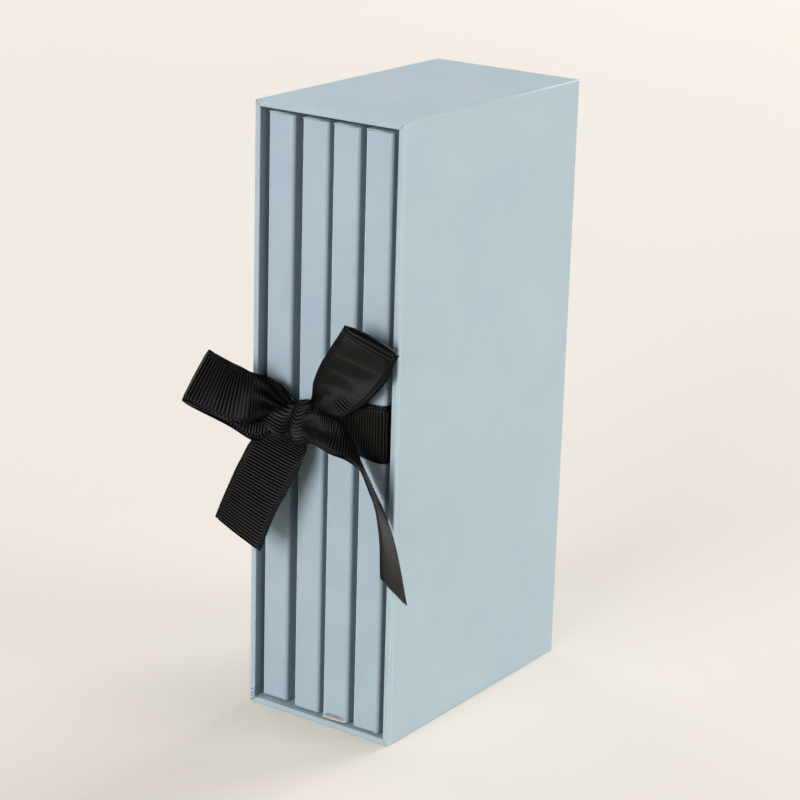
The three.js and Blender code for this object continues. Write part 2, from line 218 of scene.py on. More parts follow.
# Recycled bookbinding greyboard: flecked grey, rough and dull
def makeGreyboard():
    material, tree, shader = newMaterial("recycledGreyboard", {
        "Roughness": 0.95, "IOR": 1.45, "Specular IOR Level": 0.2,
    })
    place = addNode(tree, "TexCoord").outputs["Object"]
    mottle(tree, shader, place, "#9A968D", "#837F76", 0.8 * mm, 5.0)
    fibreBump(tree, shader, place, 0.3 * mm, 0.05 * mm, 0.6)
    return material


# Lining paper, printed like the cover but left without its soft-touch film
def makeLiningPaper():
    material, tree, shader = newMaterial("mattPrintedLiningPaper", {
        "Roughness": 0.72, "IOR": 1.45, "Specular IOR Level": 0.3,
    })
    place = addNode(tree, "TexCoord").outputs["Object"]
    mottle(tree, shader, place, "#98B0BC", "#91A9B5", 14 * mm, 3.0)
    fibreBump(tree, shader, place, 0.5 * mm, 0.03 * mm, 0.4)
    return material


# Rolled aluminium foil, crumpled by hand wrapping
def makeFoil():
    material, tree, shader = newMaterial("rolledAluminiumFoil", {
        "Base Color": linear("#D4D6D8"), "Metallic": 1.0, "Roughness": 0.24,
    })
    place = addNode(tree, "TexCoord").outputs["Object"]
    creases = addNode(tree, "TexVoronoi", {"Scale": 1 / finish["foilFacet"]}, {"Vector": place},
                      feature="DISTANCE_TO_EDGE")
    bump = addNode(tree, "Bump", {"Strength": 0.6, "Distance": finish["foilDepth"]},
                   {"Height": creases.outputs["Distance"]})
    tree.links.new(bump.outputs["Normal"], shader.inputs["Normal"])
    return material


# Tempered dark chocolate from a polished mould: deep brown with a satin gloss
def makeChocolate():
    material, tree, shader = newMaterial("mouldedDarkChocolate", {
        "Roughness": 0.34, "IOR": 1.46, "Specular IOR Level": 0.5,
        "Subsurface Weight": 0.04, "Subsurface Scale": 0.6 * mm,
    })
    place = addNode(tree, "TexCoord").outputs["Object"]
    mottle(tree, shader, place, "#4B2B1D", "#3E2216", 5 * mm, 4.0)
    fibreBump(tree, shader, place, 1.4 * mm, 0.03 * mm, 0.25)
    return material


# Woven polyester grosgrain: black, with painted shade in the valleys between the raised cross ribs and a
# painted highlight on their ridges
def makeGrosgrain():
    material, tree, shader = newMaterial("wovenPolyesterGrosgrain", {
        "Roughness": 0.26, "IOR": 1.5, "Specular IOR Level": 0.13,
    })
    rib = addNode(tree, "Attribute", attribute_name="ribHeight")
    # Painted shade and highlight: black up to a given rib height, then paler towards the ridges
    tones = addNode(tree, "ValToRGB", links={"Fac": rib.outputs["Fac"]})
    tones.color_ramp.elements[0].position = finish["paintedRibShadeTo"]
    tones.color_ramp.elements[0].color = linear("#010101")
    tones.color_ramp.elements[1].color = linear("#231F1B")
    tree.links.new(tones.outputs["Color"], shader.inputs["Base Color"])
    # Warp threads run along the ribbon; they are drawn three times too coarse, so that they show
    across = addNode(tree, "Attribute", attribute_name="across")
    threads = addNode(tree, "Math", {1: 2 * math.pi / finish["threadPitch"]},
                      {0: across.outputs["Fac"]}, operation="MULTIPLY")
    twist = addNode(tree, "Math", {}, {0: threads.outputs["Value"]}, operation="SINE")
    bump = addNode(tree, "Bump", {"Strength": 0.35, "Distance": finish["threadDepth"]},
                   {"Height": twist.outputs["Value"]})
    tree.links.new(bump.outputs["Normal"], shader.inputs["Normal"])
    return material


coverPaper = makeCoverPaper()
cartonBoard = makeCartonBoard()
whiteBoard = makeWhiteBoard()
greyboard = makeGreyboard()
liningPaper = makeLiningPaper()
foilMetal = makeFoil()
chocolate = makeChocolate()
grosgrain = makeGrosgrain()
print("materials made")


# Tools for new pieces
def finishPiece(bm, name, body, materials, replaced, sharpAngle=35):
    mesh = bpy.data.meshes.new(name)
    bm.to_mesh(mesh)
    bm.free()
    for material in materials:
        mesh.materials.append(material)
    mesh.shade_smooth()
    mesh.set_sharp_from_angle(angle=math.radians(sharpAngle))
    piece = bpy.data.objects.new(name, mesh)
    bpy.context.scene.collection.objects.link(piece)
    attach(piece, body)
    if replaced:
        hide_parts(*replaced)
    return piece


def giveThickness(piece, thickness, innerMaterial=0, rimMaterial=0):
    shell = piece.modifiers.new("boardThickness", "SOLIDIFY")
    shell.thickness = thickness
    shell.offset = -1
    shell.material_offset = innerMaterial
    shell.material_offset_rim = rimMaterial
    even = piece.modifiers.new("evenShading", "WEIGHTED_NORMAL")
    even.keep_sharp = True


def boxBetween(bm, low, high):
    made = bmesh.ops.create_cube(bm, size=1)
    bmesh.ops.scale(bm, vec=high - low, verts=made["verts"])
    bmesh.ops.translate(bm, vec=(low + high) / 2, verts=made["verts"])


def boxOf(names):
    boxes = [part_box(name) for name in names]
    low = Vector([min(box[0][i] for box in boxes) for i in range(3)])
    high = Vector([max(box[1][i] for box in boxes) for i in range(3)])
    return low, high


def easeBetween(value, low, high):
    t = min(max((value - low) / (high - low), 0), 1)
    return t * t * (3 - 2 * t)


def bevelEdges(bm, edges, radius, steps):
    bmesh.ops.bevel(bm, geom=edges, offset=radius, offset_type="OFFSET", segments=steps,
                    profile=0.5, affect="EDGES", material=-1)


def foldEdge(bm, edges, steps):
    for move in steps:
        made = bmesh.ops.extrude_edge_only(bm, edges=edges)
        verts = [v for v in made["geom"] if isinstance(v, bmesh.types.BMVert)]
        bmesh.ops.translate(bm, vec=move, verts=verts)
        edges = [e for e in made["geom"] if isinstance(e, bmesh.types.BMEdge)
                 and all(v in verts for v in e.verts)]


# Steps of a quarter turn of the given radius, from one direction towards another
def quarterTurn(radius, ahead, aside, count):
    points = []
    for i in range(count + 1):
        angle = math.pi / 2 * i / count
        points.append(radius * (math.sin(angle) * ahead + (1 - math.cos(angle)) * aside))
    return [b - a for a, b in zip(points, points[1:])]


# Cuts the faces that pass the test along a plane, and returns the points on that plane
def cutAlong(bm, point, normal, isWanted):
    faces = [f for f in bm.faces if any(isWanted(v.co) for v in f.verts)]
    geometry = set(faces)
    for face in faces:
        geometry.update(face.edges)
        geometry.update(face.verts)
    bmesh.ops.bisect_plane(bm, geom=list(geometry), dist=touching / 10, plane_co=point, plane_no=normal)
    return [v for v in bm.verts if abs((v.co - point).dot(normal)) < touching and isWanted(v.co)]


# Slipcase cover: one sheet round all five boards, wrapped over the mouth's edge and turned in
cover = {
    "arris": 0.45 * mm,
    "arrisSteps": 4,
    "mouthArris": 0.3 * mm,
    "mouthArrisSteps": 3,
    "paper": 0.15 * mm,
    "turnIn": 15 * mm,
    "mitreWidth": 0.22 * mm,
    "mitreDepth": 0.16 * mm,
    "mitreReach": 3.2 * mm,
    "mitreShade": 0.65,
    "scoreWidth": 0.3 * mm,
    "scoreDepth": 0.06 * mm,
    "scoreWearAndHighlight": 0.9,
    "arrisWear": 0.35,
    "scoreAtTop": 0.75 * mm,
    "scoreAtFoot": 1.6 * mm,
    "scoreOnTop": 1.3 * mm,
    "creaseHeights": (0.5 * mm, 1.5 * mm, 2.3 * mm, 3.4 * mm),
    "creaseWidth": 0.42 * mm,
    "creaseDepth": 0.13 * mm,
    "creaseReach": 5.5 * mm,
    "creaseShade": 0.8,
    "creaseNormal": (-0.5, -0.5, 1),
    "insidePaintedShade": {"side": 0.45, "bottom": 0.1},
    "insideFrom": 0.25 * mm,
    "backSeam": 6 * mm,
    "onFace": 0.1 * mm,
    "slack": 0.05 * mm,
    "behindArris": 0.5 * mm,
    "roundShare": 0.9,
    "sharpAngle": 40,
}


def grooveAlong(bm, point, normal, width, depth, isWanted):
    normal = normal.normalized()
    for side in (-1, 1):
        cutAlong(bm, point + normal * side * width / 2, normal, isWanted)
    middle = cutAlong(bm, point, normal, isWanted)
    bm.normal_update()
    for v, outward in [(v, v.normal.copy()) for v in middle]:
        v.co -= outward * depth
    return middle


def buildCover():
    names = [wall + "_cover_paper" for wall in walls]
    low, high = boxOf(names)
    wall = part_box("left_cover_paper")[1].x - low.x
    bm = bmesh.new()
    wearAndHighlight = bm.verts.layers.float.new("foldWearAndHighlight")
    paintedShade = bm.verts.layers.float.new("paintedShadeAmount")
    boxBetween(bm, low, high)
    bevelEdges(bm, bm.edges[:], cover["arris"], cover["arrisSteps"])
    bm.normal_update()
    front = max((f for f in bm.faces if f.normal.y < -0.99), key=lambda f: f.calc_area())
    bmesh.ops.inset_region(bm, faces=[front], thickness=wall - cover["arris"], depth=0,
                           use_boundary=True, use_even_offset=True)
    rim = front.edges[:]
    bmesh.ops.delete(bm, geom=[front], context="FACES_ONLY")
    foldEdge(bm, rim, [Vector((0, cover["turnIn"], 0))])
    inner = [e for e in bm.edges if all(abs(v.co.y - low.y) < touching for v in e.verts)
             and all(low.x + wall - touching < v.co.x < high.x - wall + touching for v in e.verts)
             and all(low.z + wall - touching < v.co.z < high.z - wall + touching for v in e.verts)]
    bevelEdges(bm, inner, cover["mouthArris"], cover["mouthArrisSteps"])
    # Mitres of the turned-in paper, at the four corners of the mouth, darkened along their grooves with
    # painted shade
    for x, sideX in ((low.x, 1), (high.x, -1)):
        for z, sideZ in ((low.z, 1), (high.z, -1)):
            corner = Vector((x, low.y, z))
            joint = grooveAlong(bm, corner, Vector((sideZ, 0, -sideX)), cover["mitreWidth"],
                                cover["mitreDepth"],
                                lambda p, c=corner: (p - c).length < cover["mitreReach"])
            for v in joint:
                v[paintedShade] = cover["mitreShade"]
    # Creases where the paper was tucked into the lower left corner of the mouth, darkened with painted
    # shade
    corner = Vector((low.x, low.y, low.z))
    for height in cover["creaseHeights"]:
        crease = grooveAlong(bm, corner + Vector((0, 0, height)), Vector(cover["creaseNormal"]),
                             cover["creaseWidth"], cover["creaseDepth"],
                             lambda p: (p - corner).length < cover["creaseReach"]
                             and p.x > low.x + cover["arris"] and p.z > low.z + cover["arris"])
        for v in crease:
            v[paintedShade] = cover["creaseShade"]
    # Scores left where the paper was pressed over the boards' front edges, painted paler: partly rubbed
    # ink, partly painted highlight
    wornAndHighlighted = []
    near = cover["onFace"]
    behind = low.y + cover["behindArris"]
    slope = (cover["scoreAtFoot"] - cover["scoreAtTop"]) / (high.z - low.z)
    for x in (low.x, high.x):
        start = Vector((x, low.y + cover["scoreAtFoot"], low.z))
        wornAndHighlighted += grooveAlong(bm, start, Vector((0, 1, slope)), cover["scoreWidth"], cover["scoreDepth"],
                              lambda p, x=x: abs(p.x - x) < near and p.y > behind)
    for z in (low.z, high.z):
        start = Vector((0, low.y + cover["scoreOnTop"], z))
        wornAndHighlighted += grooveAlong(bm, start, Vector((0, 1, 0)), cover["scoreWidth"], cover["scoreDepth"],
                              lambda p, z=z: abs(p.z - z) < near and p.y > behind)
    # The sheet's ends overlap down the back, near its left edge
    start = Vector((low.x + cover["backSeam"], high.y, 0))
    wornAndHighlighted += grooveAlong(bm, start, Vector((1, 0, 0)), cover["scoreWidth"], cover["scoreDepth"],
                          lambda p: abs(p.y - high.y) < near)
    for v in wornAndHighlighted:
        v[wearAndHighlight] = cover["scoreWearAndHighlight"]
    # The inside of the mouth is painted darker than the outside: painted shade, stronger on the side walls
    # than on the floor
    for v in bm.verts:
        fromWall = min(v.co.x - low.x, high.x - v.co.x, v.co.z - low.z, high.z - v.co.z)
        if v.co.y > low.y + cover["insideFrom"] and fromWall > wall - cover["slack"]:
            part = "bottom" if v.co.z - low.z < wall + cover["slack"] else "side"
            v[paintedShade] = max(v[paintedShade], cover["insidePaintedShade"][part])
    # Corners where two or more edges meet are rubbed
    for v in bm.verts:
        onArris = sum(1 for value, end in ((v.co.x, low.x), (v.co.x, high.x), (v.co.y, low.y),
                                           (v.co.z, low.z), (v.co.z, high.z))
                      if cover["slack"] < abs(value - end) < cover["roundShare"] * cover["arris"])
        if onArris > 1:
            v[wearAndHighlight] = cover["arrisWear"]
    piece = finishPiece(bm, "slipcaseCover", "slipcase", [coverPaper], names,
                        cover["sharpAngle"])
    giveThickness(piece, cover["paper"])


buildCover()
for wall in walls:
    for kind, material in (("greyboard", greyboard), ("lining_paper", liningPaper)):
        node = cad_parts["%s_%s" % (wall, kind)]
        node.data.materials.clear()
        node.data.materials.append(material)
print("slipcase built")


# Cartons
carton = {
    "board": 0.4 * mm,
    "crispFold": 0.5 * mm,
    "softFold": 1.15 * mm,
    "endFold": 0.45 * mm,
    "topFold": 0.15 * mm,
    "softSteps": 6,
    "crispSteps": 4,
    "dustFlapSteps": 3,
    "panelTurnSteps": 4,
    "flatSteps": 6,
    "tuckSteps": 3,
    "droop": 0.36 * mm,
    "leastDroopShare": 0.25,
    "heldShare": 0.1,
    "dustFlap": 18 * mm,
    "tuck": 13 * mm,
    "tuckInset": 1.2 * mm,
    "tuckFrom": 0.2 * mm,
    "tuckGap": 0.2 * mm,
    "slit": 1.4 * mm,
    "slitAtEnds": 0.35,
    "slitCutShares": (0.1, 0.25, 0.4, 0.55, 0.7, 0.85),
    "droopCutShares": (0.02, 0.06, 0.15, 0.5, 0.85, 0.94, 0.98),
    "wearLevels": (2 * mm, 6 * mm, 14 * mm),
    "roundShare": 0.9,
    "topPaintedHighlight": 0.8,
    "topHighlightFades": (0.45, 0.85),
    "topHighlightShare": 0.01,
    "hingeWearAndHighlight": 0.5,
    "hingeShare": 0.06,
    "sprung": 3,
    "sprungWear": 3.0,
    "sprungWearHeight": 3 * mm,
    "slack": 0.05 * mm,
}


def buildSleeve(place):
    name = "carton_%d_sleeve" % place
    low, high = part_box(name)
    bm = bmesh.new()
    boxBetween(bm, low, high)
    ends = [f for f in bm.faces if abs(f.calc_center_median().z - low.z) < touching
            or abs(f.calc_center_median().z - high.z) < touching]
    bmesh.ops.delete(bm, geom=ends, context="FACES_ONLY")
    upright = [e for e in bm.edges if abs(e.verts[0].co.z - e.verts[1].co.z) > mm]
    soft = [e for e in upright if e.verts[0].co.x >= (low.x + high.x) / 2]
    bevelEdges(bm, soft, carton["softFold"], carton["softSteps"])
    crisp = [e for e in bm.edges if abs(e.verts[0].co.z - e.verts[1].co.z) > mm
             and abs(e.verts[0].co.x - low.x) < touching]
    bevelEdges(bm, crisp, carton["crispFold"], carton["crispSteps"])
    wearAndHighlight = bm.verts.layers.float.new("foldWearAndHighlight")
    # Dust flaps, folded in from the two narrow panels
    for z, up in ((low.z, -1), (high.z, 1)):
        for y, deep in ((low.y, 1), (high.y, -1)):
            if place == carton["sprung"] and up < 0 and deep > 0:
                continue
            edges = [e for e in bm.edges if all(abs(v.co.z - z) < touching
                                                and abs(v.co.y - y) < touching for v in e.verts)]
            radius = carton["topFold"] if up > 0 else carton["endFold"]
            turn = quarterTurn(radius, Vector((0, 0, up)), Vector((0, deep, 0)),
                               carton["dustFlapSteps"])
            drop = Vector((0, 0, -up * radius))
            flap = Vector((0, deep * (carton["dustFlap"] - radius), 0))
            for v in {v for e in edges for v in e.verts}:
                v.co += drop
            foldEdge(bm, edges, turn + [flap])
    for height in carton["wearLevels"]:
        for level in (low.z + height, high.z - height):
            cutAlong(bm, Vector((0, 0, level)), Vector((0, 0, 1)), lambda p: True)
    bm.normal_update()
    # The crisp left fold is painted paler: partly cracked ink, partly painted highlight
    fold = carton["crispFold"] * carton["roundShare"]
    for v in bm.verts:
        onRound = abs(v.co.x - low.x) < fold and (v.co.y - low.y < fold or high.y - v.co.y < fold)
        v[wearAndHighlight] = 1.0 if onRound else 0.0
        if onRound and place == carton["sprung"] and v.co.z < low.z + carton["sprungWearHeight"]:
            v[wearAndHighlight] = carton["sprungWear"]
    if place == carton["sprung"]:
        for share in carton["slitCutShares"]:
            cutAlong(bm, Vector((low.x + share * (high.x - low.x), 0, 0)), Vector((1, 0, 0)),
                     lambda p: p.z < low.z + mm and abs(p.y - low.y) < carton["slack"])
        for v in bm.verts:
            if abs(v.co.y - low.y) < carton["slack"] and abs(v.co.z - low.z) < touching:
                arch = math.sin(math.pi * (v.co.x - low.x) / (high.x - low.x))
                v.co.z += carton["slit"] * (carton["slitAtEnds"] + (1 - carton["slitAtEnds"]) * arch)
    piece = finishPiece(bm, "carton%dSleeve" % place, "carton_%d" % place,
                        [cartonBoard, whiteBoard], [name])
    giveThickness(piece, carton["board"], 1, 1 if place == carton["sprung"] else 0)


def buildEndPanel(place, end):
    name = "carton_%d_%s_flap" % (place, end)
    low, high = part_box(name)
    sleeveLow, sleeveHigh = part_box("carton_%d_sleeve" % place)
    up = 1 if end == "top" else -1
    hinge = sleeveHigh.z if end == "top" else sleeveLow.z
    radius = carton["board"]
    outside = Vector((0, 0, up))
    right = Vector((1, 0, 0))
    flatWidth = high.x - low.x - radius - carton["board"] - carton["tuckGap"] - carton["endFold"]
    isOpen = place == carton["sprung"] and end == "bottom"
    if end == "bottom" and not isOpen:
        low.y += carton["endFold"]
        high.y -= carton["endFold"]
    bm = bmesh.new()
    corners = [bm.verts.new((low.x, y, hinge)) for y in (low.y, high.y)]
    edges = [bm.edges.new(corners)]
    steps = quarterTurn(radius, outside, right, carton["panelTurnSteps"])
    steps += [right * flatWidth / carton["flatSteps"]] * carton["flatSteps"]
    steps += quarterTurn(carton["endFold"], right, -outside, carton["panelTurnSteps"])
    steps += [-outside * carton["tuck"] / carton["tuckSteps"]] * carton["tuckSteps"]
    foldEdge(bm, edges, steps)
    deep = high.y - low.y
    for share in carton["droopCutShares"]:
        cutAlong(bm, Vector((0, low.y + share * deep, 0)), Vector((0, 1, 0)), lambda p: True)
    wearAndHighlight = bm.verts.layers.float.new("foldWearAndHighlight")
    for v in bm.verts:
        reach = (v.co.x - low.x) / (high.x - low.x)
        fromOpen = min(v.co.y - low.y, high.y - v.co.y) / (carton["heldShare"] * deep)
        v.co.z -= up * carton["droop"] * reach ** 2 * max(carton["leastDroopShare"], 1 - fromOpen)
        isTuck = (v.co.z - hinge) * up < -carton["tuckFrom"]
        if isTuck:
            if v.co.y - low.y < carton["tuckInset"]:
                v.co.y = low.y + carton["tuckInset"]
            if high.y - v.co.y < carton["tuckInset"]:
                v.co.y = high.y - carton["tuckInset"]
        # The top panel's hinge is painted paler: partly worn ink, partly painted highlight
        v[wearAndHighlight] = carton["hingeWearAndHighlight"] if reach < carton["hingeShare"] and end == "top" else 0.0
        # Painted highlight along the top panel's front edge, fading towards the right
        if end == "top" and v.co.y - low.y < carton["topHighlightShare"] * deep:
            v[wearAndHighlight] = carton["topPaintedHighlight"] * (1 - easeBetween(reach, *carton["topHighlightFades"]))
    bmesh.ops.recalc_face_normals(bm, faces=bm.faces[:])
    bm.normal_update()
    flat = max(bm.faces, key=lambda f: f.calc_area() * abs(f.normal.z))
    if flat.normal.z * up < 0:
        bmesh.ops.reverse_faces(bm, faces=bm.faces[:])
    piece = finishPiece(bm, "carton%d%sPanel" % (place, end.capitalize()), "carton_%d" % place,
                        [cartonBoard, whiteBoard], [name])
    giveThickness(piece, carton["board"], 1, 1 if isOpen else 0)


for place in range(1, cartonCount + 1):
    buildSleeve(place)
    buildEndPanel(place, "top")
    buildEndPanel(place, "bottom")
    for kind, material in (("foil", foilMetal), ("chocolate_bar", chocolate)):
        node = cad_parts["carton_%d_%s" % (place, kind)]
        node.data.materials.clear()
        node.data.materials.append(material)
print("cartons built")


# Ribbon: 16 mm grosgrain, whose ribs run across it between two plain selvedges
ribbon = {
    "width": 16 * mm,
    "body": 0.14 * mm,
    "ribPitch": 0.9 * mm,
    "ribHeight": 0.52 * mm,
    "selvedge": 1.2 * mm,
    "ribsFrom": (1.0, 1.2),
    "stitchAt": 0.75,
    "stitchReach": 0.32,
    "stitchPress": 1.6,
    "beadAt": 0.2,
    "beadReach": 0.3,
    "beadHeight": 0.45,
    "fineSteps": 8,
    "plainSteps": 4,
    "edgeSteps": (0, 0.12, 0.25, 0.4, 0.55, 0.7, 0.85, 1.0, 1.2),
    "middleSteps": 22,
    "spanSteps": 24,
    "leastRows": 8,
    "cornerRadius": 1.0 * mm,
    "cornerShare": 0.3,
    "bandInset": 0.1 * mm,
    "bandPleats": 2,
    "bandPleatHeight": 0.6 * mm,
    "waviness": 0.15 * mm,
    "waveLength": 7 * mm,
    "smoothSlack": 0.12,
    "pleatSlack": 0.5,
    "sharpAngle": 60,
}
knotLow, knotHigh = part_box("ribbon_knot")
knotAt = (knotLow + knotHigh) / 2


def smoothPath(points, perSpan):
    ends = [2 * points[0] - points[1]] + list(points) + [2 * points[-1] - points[-2]]
    path = []
    for before, start, end, after in zip(ends, ends[1:], ends[2:], ends[3:]):
        spans = ((before, start), (start, end), (end, after))
        gaps = [max((b - a).length, touching) ** 0.5 for a, b in spans]
        leave = gaps[1] * ((start - before) / gaps[0] - (end - before) / (gaps[0] + gaps[1])
                           + (end - start) / gaps[1])
        arrive = gaps[1] * ((end - start) / gaps[1] - (after - start) / (gaps[1] + gaps[2])
                            + (after - end) / gaps[2])
        for i in range(perSpan):
            t = i / perSpan
            path.append((2 * t ** 3 - 3 * t ** 2 + 1) * start + (t ** 3 - 2 * t ** 2 + t) * leave
                        + (3 * t ** 2 - 2 * t ** 3) * end + (t ** 3 - t ** 2) * arrive)
    path.append(points[-1].copy())
    return path


# Height of the weave from 0 to 1: ribs in the middle, small stitches and a bead at the edges. Their
# places are shares of the selvedge, counted from the ribbon's edge.
def weaveHeight(along, across):
    fromEdge = ribbon["width"] / 2 - abs(across)
    turn = 2 * math.pi * along / ribbon["ribPitch"]
    inward = fromEdge / ribbon["selvedge"]
    ridge = abs(math.cos(turn / 2)) * easeBetween(inward, *ribbon["ribsFrom"])
    fromStitch = abs(inward - ribbon["stitchAt"]) / ribbon["stitchReach"]
    onStitch = min(1, ribbon["stitchPress"] * max(0, 1 - fromStitch))
    stitch = (0.5 - 0.5 * math.cos(turn)) * onStitch
    fromBead = abs(inward - ribbon["beadAt"]) / ribbon["beadReach"]
    bead = ribbon["beadHeight"] * max(0, 1 - fromBead)
    return ridge + stitch + bead


# The step of a path in which the given length falls, and how far along that step
def stepAt(lengths, reach):
    i = 1
    while i < len(lengths) - 1 and lengths[i] < reach:
        i += 1
    return i, (reach - lengths[i - 1]) / (lengths[i] - lengths[i - 1])


def acrossPlaces():
    edge = [step * ribbon["selvedge"] / ribbon["width"] for step in ribbon["edgeSteps"]]
    inner = [edge[-1] + (1 - 2 * edge[-1]) * i / ribbon["middleSteps"]
             for i in range(1, ribbon["middleSteps"])]
    return edge + inner + [1 - share for share in reversed(edge)]


# A woven strip on a surface given by shares of its length and width
def weaveStrip(name, surface, length, steps, replaced, held):
    places = acrossPlaces()
    rows = max(ribbon["leastRows"], round(length / ribbon["ribPitch"] * steps))
    bm = bmesh.new()
    alongLayer = bm.verts.layers.float.new("along")
    acrossLayer = bm.verts.layers.float.new("across")
    ribLayer = bm.verts.layers.float.new("ribHeight")
    bmesh.ops.create_grid(bm, x_segments=rows, y_segments=len(places) - 1, size=0.5)
    lines = {}
    for v in bm.verts:
        row = round((v.co.x + 0.5) * rows)
        place = places[round((v.co.y + 0.5) * (len(places) - 1))]
        if row not in lines:
            lines[row] = surface(row / rows)
        v.co = lines[row](place)
        v[alongLayer] = length * row / rows
        v[acrossLayer] = ribbon["width"] * (place - 0.5)
        v[ribLayer] = weaveHeight(v[alongLayer], v[acrossLayer])
    bmesh.ops.recalc_face_normals(bm, faces=bm.faces[:])
    bm.normal_update()
    below = bm.verts[:]
    outward = {v: v.normal.copy() for v in below}
    made = bmesh.ops.extrude_face_region(bm, geom=bm.faces[:], use_keep_orig=True)
    above = [v for v in made["geom"] if isinstance(v, bmesh.types.BMVert)]
    bm.normal_update()
    for v in below:
        v.co -= outward[v] * (ribbon["body"] / 2 + v[ribLayer] * ribbon["ribHeight"] / 2)
    for v, under in zip(above, below):
        v.co += outward[under] * (ribbon["body"] / 2 + v[ribLayer] * ribbon["ribHeight"] / 2)
    bmesh.ops.recalc_face_normals(bm, faces=bm.faces[:])
    piece = finishPiece(bm, name, "ribbon", [grosgrain], replaced, ribbon["sharpAngle"])


# A strip between two edges. Where they lie closer than the ribbon is wide it falls in pleats.
def buildStrip(name, stations, replaced, steps, held, pleats, pleatHeight, side=0):
    perSpan = ribbon["spanSteps"]
    edgeA = smoothPath([Vector(station[0]) for station in stations], perSpan)
    edgeB = smoothPath([Vector(station[1]) for station in stations], perSpan)
    cups = [station[2] for station in stations]
    lengths = [0]
    for i in range(1, len(edgeA)):
        step = ((edgeA[i] - edgeA[i - 1]).length + (edgeB[i] - edgeB[i - 1]).length) / 2
        lengths.append(lengths[-1] + step)
    whole = lengths[-1]

    def surface(share):
        i, t = stepAt(lengths, share * whole)
        a = edgeA[i - 1].lerp(edgeA[i], t)
        b = edgeB[i - 1].lerp(edgeB[i], t)
        ahead = (edgeA[i] - edgeA[i - 1]) + (edgeB[i] - edgeB[i - 1])
        away = ahead.cross(b - a).normalized()
        span = (i - 1 + t) / perSpan
        first = min(int(span), len(cups) - 2)
        ease = easeBetween(span - first, 0, 1)
        cup = cups[first] * (1 - ease) + cups[first + 1] * ease
        chord = (b - a).length
        slack = max(0, ribbon["width"] / chord - 1)
        pleat = min(chord / (math.pi * pleats) * math.sqrt(slack), pleatHeight)
        pleat *= easeBetween(slack, ribbon["smoothSlack"], ribbon["pleatSlack"])

        def line(place):
            point = a.lerp(b, place)
            lift = cup * 4 * place * (1 - place)
            wave = math.sin(2 * math.pi * pleats * place)
            wobble = ribbon["waviness"] * noise.noise(point / ribbon["waveLength"])
            if side:
                lift += side * (pleat * (1 + wave) + abs(wobble))
            else:
                lift += pleat * wave + wobble
            return point + away * lift
        return line

    weaveStrip(name, surface, whole, steps, replaced, held)


def fromKnot(shares):
    return [tuple(knotAt + Vector(point) * ribbon["width"] for point in row[:2])
            + (row[2] * ribbon["width"],) for row in shares]


# Points on the upper or left edge and across from it, and how far the middle stands out between
# them, as shares of the ribbon's width from the knot
leftLoopShares = [
    ((-0.22, -0.02, 0.20), (-0.20, -0.04, -0.02), 0.0),
    ((-0.46, -0.18, 0.46), (-0.43, -0.26, -0.05), 0.04),
    ((-0.78, -0.40, 0.78), (-0.55, -0.82, -0.02), 0.08),
    ((-1.08, -0.50, 0.90), (-1.05, -1.08, 0.14), 0.04),
    ((-1.335, -0.60, 1.02), (-1.405, -1.22, 0.28), 0.0),
    ((-1.46, -0.58, 1.04), (-1.53, -1.20, 0.29), 0.0),
    ((-1.415, -0.49, 0.95), (-1.485, -1.11, 0.20), 0.0),
    ((-1.12, -0.16, 0.70), (-0.98, -0.62, -0.20), 0.0),
    ((-0.86, -0.04, 0.61), (-0.66, -0.46, -0.40), 0.0),
    ((-0.66, 0.00, 0.60), (-0.58, -0.34, -0.44), 0.0),
    ((-0.50, 0.02, 0.56), (-0.40, -0.10, -0.28), 0.0),
    ((-0.28, 0.04, 0.40), (-0.24, 0.00, -0.14), 0.0),
    ((-0.10, 0.06, 0.20), (-0.10, 0.04, -0.08), 0.0),
]
rightLoopShares = [
    ((0.06, -0.04, 0.22), (0.08, -0.04, 0.04), 0.0),
    ((0.34, -0.14, 0.42), (0.68, -0.04, 0.08), 0.12),
    ((0.49, -0.26, 0.80), (1.28, -0.03, 0.46), 0.10),
    ((0.70, -0.37, 1.15), (1.60, -0.04, 0.76), 0.04),
    ((0.97, -0.50, 1.48), (1.88, -0.08, 1.10), 0.0),
    ((1.257, -0.56, 1.865), (2.037, -0.14, 1.41), -0.04),
    ((1.28, -0.50, 1.95), (2.06, -0.08, 1.50), -0.05),
    ((1.19, -0.40, 1.90), (1.97, 0.01, 1.44), -0.04),
    ((1.02, -0.20, 1.66), (1.80, 0.06, 1.24), 0.0),
    ((0.80, -0.08, 1.42), (1.62, 0.10, 0.98), 0.02),
    ((0.52, 0.02, 0.98), (1.28, 0.12, 0.56), 0.02),
    ((0.34, 0.07, 0.58), (0.80, 0.12, 0.24), 0.02),
    ((0.12, 0.09, 0.24), (0.14, 0.10, 0.06), 0.0),
]
leftTailShares = [
    ((0.00, -0.08, -0.04), (0.10, 0.00, -0.10), 0.0),
    ((-0.30, -0.19, -0.21), (0.25, -0.09, -0.38), 0.02),
    ((-0.72, -0.28, -0.42), (0.26, -0.22, -0.67), 0.02),
    ((-0.94, -0.36, -0.83), (0.09, -0.31, -1.09), 0.02),
    ((-1.15, -0.44, -1.34), (-0.13, -0.45, -1.62), 0.02),
    ((-1.37, -0.51, -1.93), (-0.35, -0.55, -2.30), 0.02),
]
